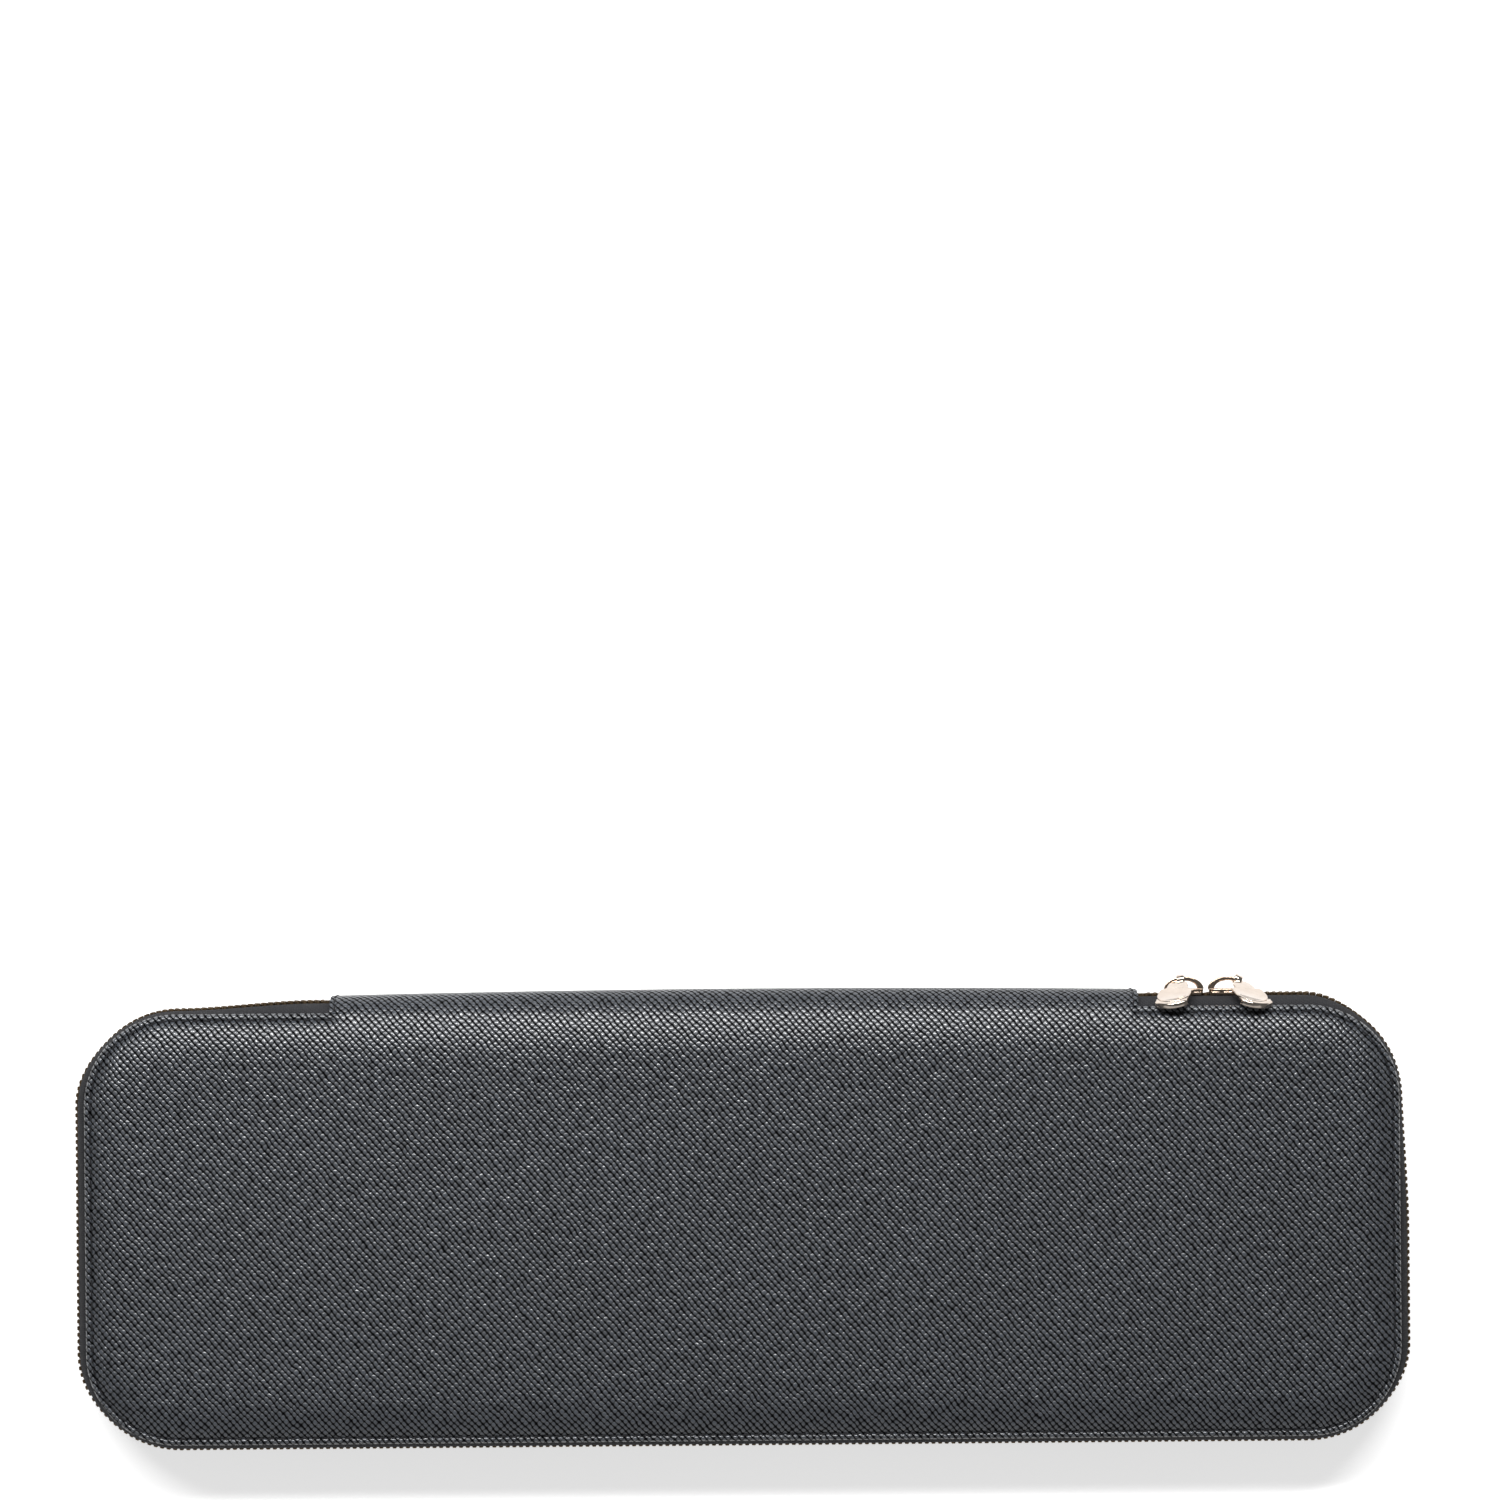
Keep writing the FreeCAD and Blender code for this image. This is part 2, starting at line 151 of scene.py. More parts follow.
def read_table(table, value):
    """The level that a table of (place, level) pairs gives at a place."""
    for (start, low), (end, high) in zip(table, table[1:]):
        if value <= end:
            return low + (high - low) * max(value - start, 0) / (end - start)
    return table[-1][1]


def edge_distance(x, y):
    """How far a point lies inside the cover's rounded outline."""
    past_x = abs(x) - straight_x
    past_y = abs(y) - straight_y
    if past_x > 0 and past_y > 0:
        return corner_radius - math.hypot(past_x, past_y)
    return corner_radius - max(past_x, past_y)


def spine_share(x, y):
    """1 where the cover's leather runs on over the spine, 0 where its edge is sewn to the zip."""
    if y < straight_y:
        return 0
    fade = 3 * mm
    return ramp(x, -spine_left, fade) * ramp(-x, -spine_right, fade)


def crown_level(inset):
    """The padded cover's height at a distance in from its edge, with no seam."""
    left = max(crown_width - inset, 0)
    return thickness - crown_arc + math.sqrt(crown_arc ** 2 - left ** 2)


def cover_level(x, y):
    inset = edge_distance(x, y)
    share = spine_share(x, y)
    sewn = read_table(sewn_profile, inset / mm) * mm
    return crown_level(inset) * share + sewn * (1 - share)


def rim_stations(offset, left_end, right_end, pitch, ends=False):
    """Points and outward directions at an even pitch on a line outside the cover's edge, round from the
    spine's left end to its right end. With ends, the first and last stand on the line's own ends."""
    x = straight_x
    y = straight_y
    radius = corner_radius + offset
    turns = [(-left_end, y, 90), (-x, y, 90), (-x, y, 180), (-x, -y, 180), (-x, -y, 270), (x, -y, 270),
             (x, -y, 360), (x, y, 360), (x, y, 450), (right_end, y, 450)]
    legs = []
    for a, b in zip(turns, turns[1:]):
        legs.append((a, b, math.hypot(b[0] - a[0], b[1] - a[1]) + radius * math.radians(b[2] - a[2])))
    total = sum(leg[2] for leg in legs)
    count = round(total / pitch)
    stations = []
    for index in range(count + 1 if ends else count):
        left = (index if ends else index + 0.5) * total / count
        for a, b, length in legs:
            if left <= length or b == turns[-1]:
                break
            left -= length
        share = min(left / length, 1)
        angle = math.radians(a[2] + (b[2] - a[2]) * share)
        outward = Vector((math.cos(angle), math.sin(angle), 0))
        core = Vector((a[0] + (b[0] - a[0]) * share, a[1] + (b[1] - a[1]) * share, 0))
        stations.append((core + outward * radius, outward))
    return stations


def facing(point, along, outward):
    """A place whose X runs along, Y outward and Z square to both."""
    third = along.cross(outward)
    place = Matrix((along, outward, third)).transposed().to_4x4()
    place.translation = point
    return place


def mapped_grid(columns, rows, place, chart):
    """A grid whose points go where place sends them, with chart giving their flat pattern in metres."""
    bm = bmesh.new()
    bmesh.ops.create_grid(bm, x_segments=columns, y_segments=rows, size=0.5)
    layer = bm.loops.layers.uv.new("pattern")
    for face in bm.faces:
        for loop in face.loops:
            loop[layer].uv = chart(loop.vert.co.x + 0.5, loop.vert.co.y + 0.5)
    for vert in bm.verts:
        vert.co = place(vert.co.x + 0.5, vert.co.y + 0.5)
    return bm


def thicken(bm, amount):
    """Gives a sheet its thickness, behind its faces where the amount is above zero."""
    bm.normal_update()
    bmesh.ops.solidify(bm, geom=bm.faces[:], thickness=amount)


def repeated(shape, places):
    """One mesh with a copy of the shape at every place. The shape is used up."""
    mesh = bpy.data.meshes.new("shape")
    shape.to_mesh(mesh)
    shape.free()
    bm = bmesh.new()
    for place in places:
        copy = mesh.copy()
        copy.transform(place)
        bm.from_mesh(copy)
        bpy.data.meshes.remove(copy)
    bpy.data.meshes.remove(mesh)
    return bm


def joined(bm, other, material):
    """Adds another mesh to this one under its own material number. The other is used up."""
    for face in other.faces:
        face.material_index = material
    mesh = bpy.data.meshes.new("shape")
    other.to_mesh(mesh)
    other.free()
    bm.from_mesh(mesh)
    bpy.data.meshes.remove(mesh)


def to_back(bm):
    """Turns a front piece into its twin on the back half."""
    bmesh.ops.scale(bm, vec=(1, 1, -1), verts=bm.verts)
    bmesh.ops.translate(bm, vec=(0, 0, thickness), verts=bm.verts)
    bmesh.ops.reverse_faces(bm, faces=bm.faces)


def round_off(bm, geometry, radius, segments, affect="EDGES"):
    bmesh.ops.bevel(bm, geom=geometry, offset=radius, segments=segments, profile=0.5, affect=affect,
                    material=-1)


def verts_of(result):
    """The points among what an operation made."""
    return [item for item in result["geom"] if isinstance(item, bmesh.types.BMVert)]


def raise_faces(bm, step):
    """Turns a flat shape into a solid, one step thick."""
    raised = bmesh.ops.extrude_face_region(bm, geom=bm.faces[:])
    bmesh.ops.translate(bm, vec=step, verts=verts_of(raised))


def block(size, centre, bevel, segments=2):
    """A box with rounded edges."""
    bm = bmesh.new()
    bmesh.ops.create_cube(bm, size=1)
    bmesh.ops.scale(bm, vec=size, verts=bm.verts)
    round_off(bm, bm.edges[:], bevel, segments)
    bmesh.ops.translate(bm, vec=centre, verts=bm.verts)
    return bm


def plate(outline, low, high, bevel):
    """A flat plate in the XZ plane with rounded edges, between two levels of Y."""
    bm = bmesh.new()
    bm.faces.new([bm.verts.new((x, low, z)) for x, z in outline])
    raise_faces(bm, (0, high - low, 0))
    bmesh.ops.recalc_face_normals(bm, faces=bm.faces)
    round_off(bm, bm.edges[:], bevel, 3)
    return bm


def new_piece(name, bm, materials, replaced=(), sharp=35):
    bmesh.ops.recalc_face_normals(bm, faces=bm.faces)
    mesh = bpy.data.meshes.new(name)
    bm.to_mesh(mesh)
    bm.free()
    for material in materials:
        mesh.materials.append(material)
    mesh.shade_smooth()
    mesh.set_sharp_from_angle(angle=math.radians(sharp))
    piece = bpy.data.objects.new(name, mesh)
    bpy.context.scene.collection.objects.link(piece)
    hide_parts(*replaced)
    return piece


# Materials

def node(tree, kind, inputs=(), **settings):
    """Adds a shader node. inputs maps a socket's name or number to a value or to another node's output."""
    added = tree.nodes.new(kind)
    for key, value in settings.items():
        setattr(added, key, value)
    for key, value in dict(inputs).items():
        if isinstance(value, bpy.types.NodeSocket):
            tree.links.new(value, added.inputs[key])
        else:
            added.inputs[key].default_value = value
    return added


def sum_of(tree, operation, first, second=0.0, third=0.0):
    return node(tree, "ShaderNodeMath", {0: first, 1: second, 2: third}, operation=operation).outputs[0]


def blend_color(tree, share, low, high):
    return node(tree, "ShaderNodeMix", {0: share, 6: low, 7: high}, data_type="RGBA").outputs[2]


def level_range(tree, value, low, high, start=0.0, end=1.0):
    """Low where the value is at the start, high where it is at the end, and even steps between."""
    return node(tree, "ShaderNodeMapRange", {0: value, 1: start, 2: end, 3: low, 4: high}).outputs[0]


def noise_of(tree, vector, scale, detail, output=0):
    inputs = {"Vector": vector, "Scale": scale, "Detail": detail}
    return node(tree, "ShaderNodeTexNoise", inputs).outputs[output]


def scaled(tree, vector, factor):
    return node(tree, "ShaderNodeVectorMath", {0: vector, "Scale": factor}, operation="SCALE").outputs[0]


def new_group(name, inputs, outputs):
    group = bpy.data.node_groups.new(name, "ShaderNodeTree")
    for socket, kind in inputs:
        group.interface.new_socket(socket, in_out="INPUT", socket_type=kind)
    for socket in outputs:
        group.interface.new_socket(socket, in_out="OUTPUT", socket_type="NodeSocketFloat")
    return group, group.nodes.new("NodeGroupInput").outputs, group.nodes.new("NodeGroupOutput").inputs


def use_group(tree, group, inputs):
    return node(tree, "ShaderNodeGroup", inputs, node_tree=group).outputs


def wavering(tree, vector, scale, reach):
    """A pattern's coordinates pushed about by soft noise."""
    noise = noise_of(tree, vector, scale, 2.0, "Color")
    middle = (0.5, 0.5, 0.5)
    centred = node(tree, "ShaderNodeVectorMath", {0: noise, 1: middle}, operation="SUBTRACT").outputs[0]
    push = scaled(tree, centred, reach)
    return node(tree, "ShaderNodeVectorMath", {0: vector, 1: push}, operation="ADD").outputs[0]


def ridges(tree, vector, degrees, pitch):
    """Rows of even ridges, from 0 to 1, that follow each other in the given direction."""
    angle = math.radians(degrees)
    way = (math.cos(angle), math.sin(angle), 0)
    along = node(tree, "ShaderNodeVectorMath", {0: vector, 1: way}, operation="DOT_PRODUCT").outputs["Value"]
    turns = sum_of(tree, "DIVIDE", along, pitch)
    wave = sum_of(tree, "SINE", sum_of(tree, "MULTIPLY", turns, 2 * math.pi))
    return sum_of(tree, "MULTIPLY_ADD", wave, 0.5, 0.5)


def make_cross_grain():
    """Leather pressed with two crossing sets of slanting rows, uneven as a real skin takes them."""
    group, given, out = new_group(
        "cross_grain",
        [("Vector", "NodeSocketVector"), ("Pitch", "NodeSocketFloat"), ("Waver", "NodeSocketFloat")],
        ["Height", "Mottle"])
    fullness = 0.32
    bent = wavering(group, given["Vector"], 240.0, given["Waver"])
    rows = sum_of(group, "POWER", ridges(group, bent, 42, given["Pitch"]), fullness)
    cross_rows = sum_of(group, "POWER", ridges(group, bent, 131, given["Pitch"]), fullness)
    beads = sum_of(group, "MULTIPLY", rows, sum_of(group, "MULTIPLY_ADD", cross_rows, 0.6, 0.4))
    uneven = noise_of(group, given["Vector"], 420.0, 1.0)
    skin = noise_of(group, given["Vector"], 3200.0, 1.0)
    pressed = sum_of(group, "MULTIPLY", beads, sum_of(group, "MULTIPLY_ADD", uneven, 0.85, 0.53))
    height = sum_of(group, "MULTIPLY_ADD", skin, 0.05, pressed)
    mottle = noise_of(group, given["Vector"], 28.0, 3.0)
    group.links.new(height, out["Height"])
    group.links.new(mottle, out["Mottle"])
    return group


def make_weave():
    """Threads over and under at a slant, as in tape and cloth."""
    group, given, out = new_group(
        "weave",
        [("Vector", "NodeSocketVector"), ("Pitch", "NodeSocketFloat"), ("Waver", "NodeSocketFloat")],
        ["Height", "Fuzz"])
    bent = wavering(group, given["Vector"], 900.0, given["Waver"])
    slant = ridges(group, bent, 58, given["Pitch"])
    rib = ridges(group, bent, 0, given["Pitch"])
    fuzz = noise_of(group, given["Vector"], 5200.0, 3.0)
    woven = sum_of(group, "MULTIPLY", slant, sum_of(group, "MULTIPLY_ADD", rib, 0.5, 0.5))
    group.links.new(sum_of(group, "MULTIPLY_ADD", fuzz, 0.3, woven), out["Height"])
    group.links.new(fuzz, out["Fuzz"])
    return group


def make_handling():
    """Fine scratches and soft clouding on handled metal."""
    group, given, out = new_group("handling", [("Vector", "NodeSocketVector")], ["Cloud", "Scratch"])
    cloud = noise_of(group, given["Vector"], 420.0, 3.0)
    stretch = (300, 6000, 3000)
    drawn = node(group, "ShaderNodeMapping", {"Vector": given["Vector"], "Scale": stretch}).outputs[0]
    scratch = noise_of(group, drawn, 1.0, 2.0)
    group.links.new(cloud, out["Cloud"])
    group.links.new(scratch, out["Scratch"])
    return group


cross_grain = make_cross_grain()
weave = make_weave()
handling = make_handling()


def new_material(name, roughness=0.5, metallic=0.0, specular=0.5, sheen=0.0):
    material = bpy.data.materials.new(name)
    material.use_nodes = True
    tree = material.node_tree
    surface = tree.nodes["Principled BSDF"]
    surface.inputs["Roughness"].default_value = roughness
    surface.inputs["Metallic"].default_value = metallic
    surface.inputs["Specular IOR Level"].default_value = specular
    surface.inputs["Sheen Weight"].default_value = sheen
    return material, tree, surface


def pattern_of(tree):
    return node(tree, "ShaderNodeUVMap", uv_map="pattern").outputs[0]


def place_of(tree):
    return node(tree, "ShaderNodeTexCoord").outputs["Object"]


def relief(tree, surface, height, distance):
    bump = node(tree, "ShaderNodeBump", {"Height": height, "Distance": distance, "Strength": 1.0})
    tree.links.new(bump.outputs[0], surface.inputs["Normal"])


def grained_leather(name, shine, polish):
    """Leather whose beads shine and are buffed on top. The pits between them are painted shade: made black
    and metallic, they send back next to no light, standing in for the shadow that falls between the beads."""
    material, tree, surface = new_material(name, specular=shine)
    surface.inputs["Coat Roughness"].default_value = 0.4
    grain = use_group(tree, cross_grain, {"Vector": pattern_of(tree), "Pitch": 1.49 * mm, "Waver": 1.3 * mm})
    tops = level_range(tree, grain["Height"], 0.0, 1.0, 0.42, 0.86)
    # Painted shade: where the grain is low the colour goes near black and the surface metallic, so the pits
    # between the beads look shaded under any light.
    pit_shade = level_range(tree, grain["Height"], 1.0, 0.0, 0.3, 0.7)
    skin = blend_color(tree, tops, (0.002, 0.0024, 0.0032, 1), (0.064, 0.072, 0.086, 1))
    shade = level_range(tree, grain["Mottle"], 0.75, 1.2)
    tree.links.new(scaled(tree, skin, shade), surface.inputs["Base Color"])
    tree.links.new(level_range(tree, tops, 0.65, 0.25), surface.inputs["Roughness"])
    tree.links.new(level_range(tree, tops, 0, polish), surface.inputs["Coat Weight"])
    tree.links.new(pit_shade, surface.inputs["Metallic"])
    relief(tree, surface, grain["Height"], 0.3 * mm)
    return material


def smooth_leather():
    material, tree, surface = new_material("smooth_leather", specular=0.45)
    vector = place_of(tree)
    mottle = noise_of(tree, vector, 90.0, 4.0)
    cells = node(tree, "ShaderNodeTexVoronoi", {"Vector": vector, "Scale": 950.0}, feature="SMOOTH_F1")
    pebbles = cells.outputs[0]
    shade = blend_color(tree, mottle, (0.012, 0.013, 0.015, 1), (0.036, 0.038, 0.042, 1))
    tree.links.new(shade, surface.inputs["Base Color"])
    tree.links.new(level_range(tree, mottle, 0.5, 0.72), surface.inputs["Roughness"])
    relief(tree, surface, pebbles, -0.08 * mm)
    return material


def painted_edge():
    material, tree, surface = new_material("painted_edge")
    marks = use_group(tree, handling, {"Vector": place_of(tree)})
    shade = blend_color(tree, marks["Cloud"], (0.010, 0.010, 0.011, 1), (0.026, 0.026, 0.028, 1))
    tree.links.new(shade, surface.inputs["Base Color"])
    tree.links.new(level_range(tree, marks["Cloud"], 0.32, 0.5), surface.inputs["Roughness"])
    relief(tree, surface, marks["Cloud"], 0.05 * mm)
    return material


def woven(name, dark, light, pitch, depth, uv=True, sheen=0.0):
    material, tree, surface = new_material(name, specular=0.25, sheen=sheen)
    vector = pattern_of(tree) if uv else place_of(tree)
    cloth = use_group(tree, weave, {"Vector": vector, "Pitch": pitch, "Waver": pitch * 0.25})
    threads = blend_color(tree, cloth["Height"], dark, light)
    nap = noise_of(tree, place_of(tree), 60.0, 4.0)
    brushed = level_range(tree, nap, 0.6, 1.4)
    tree.links.new(scaled(tree, threads, brushed), surface.inputs["Base Color"])
    tree.links.new(level_range(tree, cloth["Fuzz"], 0.75, 0.95), surface.inputs["Roughness"])
    relief(tree, surface, cloth["Height"], depth)
    return material


def plated(name, dark, light, smooth, rough):
    material, tree, surface = new_material(name, metallic=1.0)
    marks = use_group(tree, handling, {"Vector": place_of(tree)})
    tree.links.new(blend_color(tree, marks["Cloud"], dark, light), surface.inputs["Base Color"])
    tree.links.new(level_range(tree, marks["Scratch"], smooth, rough), surface.inputs["Roughness"])
    relief(tree, surface, marks["Scratch"], 0.004 * mm)
    return material


def grey_board():
    material, tree, surface = new_material("board_stuff", specular=0.2, roughness=0.92)
    fleck = noise_of(tree, place_of(tree), 900.0, 4.0)
    shade = blend_color(tree, fleck, (0.11, 0.10, 0.09, 1), (0.2, 0.19, 0.17, 1))
    tree.links.new(shade, surface.inputs["Base Color"])
    relief(tree, surface, fleck, 0.03 * mm)
    return material


leather_skin = grained_leather("grained_leather", 1.0, 0.4)
spine_skin = grained_leather("stretched_leather", 0.6, 0.2)
pocket_skin = smooth_leather()
leather_edge = painted_edge()
deep_black = (0.008, 0.008, 0.009, 1)
soft_black = (0.012, 0.012, 0.014, 1)
thread = woven("waxed_thread", deep_black, (0.03, 0.03, 0.033, 1), 0.35 * mm, 0.06 * mm, uv=False)
tape_cloth = woven("zip_tape_cloth", deep_black, (0.036, 0.036, 0.04, 1), 0.62 * mm, 0.12 * mm)
lining_cloth = woven("lining_cloth", soft_black, (0.05, 0.051, 0.056, 1), 0.9 * mm, 0.1 * mm,
                     uv=False, sheen=0.3)
elastic_cloth = woven("elastic_cloth", soft_black, (0.06, 0.06, 0.066, 1), 1.0 * mm, 0.16 * mm)
teeth_metal = plated("teeth_metal", (0.04, 0.03, 0.022, 1), (0.27, 0.19, 0.11, 1), 0.25, 0.45)
# Painted reflection: the slider's metal is a darker copy of the pull's, standing in for the dark reflections
# on its bow.
slider_metal = plated("slider_metal", (0.42, 0.31, 0.23, 1), (0.62, 0.5, 0.4, 1), 0.08, 0.2)
pull_metal = plated("pull_metal", (0.58, 0.49, 0.42, 1), (0.72, 0.64, 0.57, 1), 0.06, 0.18)
board_stuff = grey_board()


# Padded covers

def padded_cover():
    """The front cover: leather drawn over its pad, dipped along the seam and plain where it turns over the
    spine."""
    bm = bmesh.new()
    corners = [(-half_length, -half_width), (half_length, -half_width), (half_length, half_width),
               (-half_length, half_width)]
    bm.faces.new([bm.verts.new((x, y, thickness)) for x, y in corners])
    round_off(bm, bm.verts[:], corner_radius, 26, "VERTICES")
    spacing = stitch_pitch / 2
    for edge in [edge for edge in bm.edges if edge.calc_length() > 4 * spacing]:
        bmesh.ops.subdivide_edges(bm, edges=[edge], cuts=round(edge.calc_length() / spacing) - 1)
    panel = bm.faces[:][0]
    rim = list(panel.edges)
    for (before, _), (after, _) in zip(sewn_profile, sewn_profile[1:]):
        bmesh.ops.inset_individual(bm, faces=[panel], thickness=(after - before) * mm, use_even_offset=True)
    for vert in bm.verts:
        vert.co.z = cover_level(vert.co.x, vert.co.y)
    drop = bmesh.ops.extrude_edge_only(bm, edges=rim)
    lower = verts_of(drop)
    for vert in lower:
        vert.co.z = rim_level
    edges = [item for item in drop["geom"] if isinstance(item, bmesh.types.BMEdge)]
    foot = [edge for edge in edges if all(vert.co.z == lower[0].co.z for vert in edge.verts)]
    under = bmesh.ops.contextual_create(bm, geom=foot)
    for face in under["faces"]:
        face.material_index = 1
    return bm


def chart_cover(bm, start, way):
    """Lays the leather's pattern flat on a cover, running on from the spine."""
    layer = bm.loops.layers.uv.new("pattern")
    for face in bm.faces:
        for loop in face.loops:
            loop[layer].uv = (loop.vert.co.x, start + way * loop.vert.co.y)


front_cover_mesh = padded_cover()
back_cover_mesh = front_cover_mesh.copy()
to_back(back_cover_mesh)
chart_cover(front_cover_mesh, 0, 1)
chart_cover(back_cover_mesh, 2 * (half_width + spine_reach), -1)
for side, mesh in (("front", front_cover_mesh), ("back", back_cover_mesh)):
    cover = new_piece(side + "_padded_cover", mesh, [leather_skin, leather_edge],
                      [side + "_cover_leather", side + "_foam", side + "_board"])
    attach(cover, side + "_half")


# Spine leather, in two strips that meet on the zip's middle plane

def spine_place(along, across):
    """A point of the spine's leather: over the front fold, then down to the middle."""
    x = -spine_left + (spine_left + spine_right) * along
    reach = spine_reach * across
    turn = min(reach, spine_arc) / bend_radius
    angle = bend_turn - turn
    bow = spine_bow * (1 - (2 * along - 1) ** 2) * smooth_step(reach / spine_arc)
    y = bend_y + bend_radius * math.cos(angle) + bow
    z = bend_z + bend_radius * math.sin(angle) - max(reach - spine_arc, 0)
    return Vector((x, y, z))


def stitch():
    """One stitch of thread, lying along X."""
    bm = bmesh.new()
    bmesh.ops.create_uvsphere(bm, u_segments=8, v_segments=5, radius=1)
    bmesh.ops.rotate(bm, matrix=Matrix.Rotation(math.pi / 2, 3, "Y"), verts=bm.verts)
    bmesh.ops.scale(bm, vec=stitch_half, verts=bm.verts)
    bmesh.ops.rotate(bm, matrix=Matrix.Rotation(stitch_slant, 3, "Z"), verts=bm.verts)
    return bm


def spine_stitches():
    """Thread that holds each end of the spine's leather, up over the fold."""
    count = 4
    nudge = 0.02
    places = []
    for end in (stitch_end, spine_left + spine_right - stitch_end):
        share = end / (spine_left + spine_right)
        for index in range(count):
            across = (index + 0.5) / count
            here = spine_place(share, across)
            along = (spine_place(share, across + nudge) - spine_place(share, across - nudge)).normalized()
            places.append(facing(here, along, Vector((1, 0, 0))))
    return repeated(stitch(), places)


def spine_strip(chart):
    bm = mapped_grid(110, 16, spine_place, chart)
    thicken(bm, leather)
    joined(bm, spine_stitches(), 1)
    return bm


def front_chart(along, across):
    return (-spine_left + (spine_left + spine_right) * along, half_width + spine_reach * across)


def back_chart(along, across):
    return (-spine_left + (spine_left + spine_right) * along, half_width + spine_reach * (2 - across))


front_strip = spine_strip(front_chart)
back_strip = spine_strip(back_chart)
to_back(back_strip)
front_spine = new_piece("front_spine_leather", front_strip, [spine_skin, thread],
                        ["front_fold_leather", "spine_leather"])
back_spine = new_piece("back_spine_leather", back_strip, [spine_skin, thread],
                       ["back_fold_leather"])
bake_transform(front_spine)
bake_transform(back_spine)


# Thread round the rim

def rim_stitches():
    line = rim_stations(-stitch_inset, spine_left - stitch_end, spine_right - stitch_end, stitch_pitch)
    places = []
    for point, outward in line:
        places.append(facing(point + UP * stitch_level, outward.cross(UP), outward))
    return repeated(stitch(), places)


for side in ("front", "back"):
    seam = rim_stitches()
    if side == "back":
        to_back(seam)
    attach(new_piece(side + "_rim_stitches", seam, [thread]), side + "_half")


# Zip tape, from under the rim out to the teeth

def zip_sink(point):
    """How far the zip draws in under the covers' edge: at the corners by the spine, and on the far side."""
    left = ramp(-point.x, 128 * mm, 42 * mm) * ramp(point.y, 38 * mm, 22 * mm)
    right = ramp(point.x, right_run_end, 20 * mm) * ramp(point.y, -5 * mm, 50 * mm)
    far = ramp(-point.y, 40 * mm, 20 * mm)
    return left_sink * left + right_sink * right + far_sink * far


def tape_strip(stations):
    """The tape's section set up at every station of its line."""
    steps = len(stations) - 1
    rows = len(tape_section) - 1
    widths = [0]
    for (n, z), (after_n, after_z) in zip(tape_section, tape_section[1:]):
        widths.append(widths[-1] + math.hypot(after_n - n, after_z - z))
    lengths = [0]
    for (point, _), (after, _) in zip(stations, stations[1:]):
        lengths.append(lengths[-1] + (after - point).length)

    def place(along, across):
        point, outward = stations[round(along * steps)]
        n, z = tape_section[round(across * rows)]
        sink = zip_sink(point) * across
        return point + outward * (n * mm - sink) + UP * z * mm

    def chart(along, across):
        return (lengths[round(along * steps)], widths[round(across * rows)] * mm)

    bm = mapped_grid(steps, rows, place, chart)
    thicken(bm, -tape)
    return bm, (lengths[-1], widths[-1] * mm)


def straight_stations(start, end):
    count = 24
    outward = Vector((0, 1, 0))
    return [(Vector((start + (end - start) * i / count, half_width, 0)), outward) for i in range(count + 1)]


def zip_blend(piece, side, near, toward, length, tape_too):
    """Works out where a stretch of zip would pass from its half to the spine towards the end called near,
    with a tape's rim staying with the half so that the spine's share grows down the tape; nothing uses these
    points. Then bakes the piece's place into its mesh."""
    fall = -1 / (tape_rim - tape_chain) if tape_too else 0
    growth = Vector((toward / length if length else 0, 0, fall))
    start = Vector((near, half_width, tape_rim))
    if not tape_too:
        start.x -= toward * length
    end = start + growth / growth.length_squared
    if side == "back":
        start.z = thickness - start.z
        end.z = thickness - end.z
    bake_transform(piece)


for side in ("front", "back"):
    line = rim_stations(0, left_run_end, right_run_end, 3 * mm, ends=True)
    strips = {
        "tape": line[tape_steps:-tape_steps],
        "left_parting_tape": line[:tape_steps + 1],
        "right_parting_tape": line[-tape_steps - 1:],
        "left_end_tape": straight_stations(-spine_left + 4 * mm, -left_run_end),
        "right_end_tape": straight_stations(right_run_end, spine_right - 4 * mm),
    }
    stands_for = {"tape": [side + "_zip_tape"]}
    if side == "front":
        stands_for["left_end_tape"] = ["left_zip_end_tape"]
        stands_for["right_end_tape"] = ["right_zip_end_tape"]
    pieces = {}
    for name, stations in strips.items():
        strip, flat = tape_strip(stations)
        if side == "back":
            to_back(strip)
        pieces[name] = new_piece(side + "_" + name, strip, [tape_cloth], stands_for.get(name, []))
    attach(pieces["tape"], side + "_half")
    zip_blend(pieces["left_parting_tape"], side, -left_run_end, 1, parting, True)
    zip_blend(pieces["right_parting_tape"], side, right_run_end, -1, parting, True)
    zip_blend(pieces["left_end_tape"], side, -left_run_end, 1, 0, True)
    zip_blend(pieces["right_end_tape"], side, right_run_end, -1, 0, True)


# Zip teeth, each row's heads standing between the other's

def tooth():
    """One tooth: a foot pinched on the tape and a narrower head that reaches past the middle plane."""
    bm = block(tooth_foot, (0, 0, 15.85 * mm), 0.22 * mm, 1)
    head = block(tooth_head, (0, 0, 14.2 * mm), 0.25 * mm, 1)
    joined(bm, head, 0)
    return bm


def teeth_on(stations, shift):
    places = []
    for point, outward in stations:
        along = outward.cross(UP)
        places.append(facing(point + along * shift - outward * zip_sink(point), along, outward))
    return repeated(tooth(), places)


def end_stations(start, end):
    count = round(abs(end - start) / tooth_pitch)
    outward = Vector((0, 1, 0))
    row = []
    for index in range(count):
        x = start + (end - start) * (index + 0.5) / count
        row.append((Vector((x, half_width + chain_offset, 0)), outward))
    return row


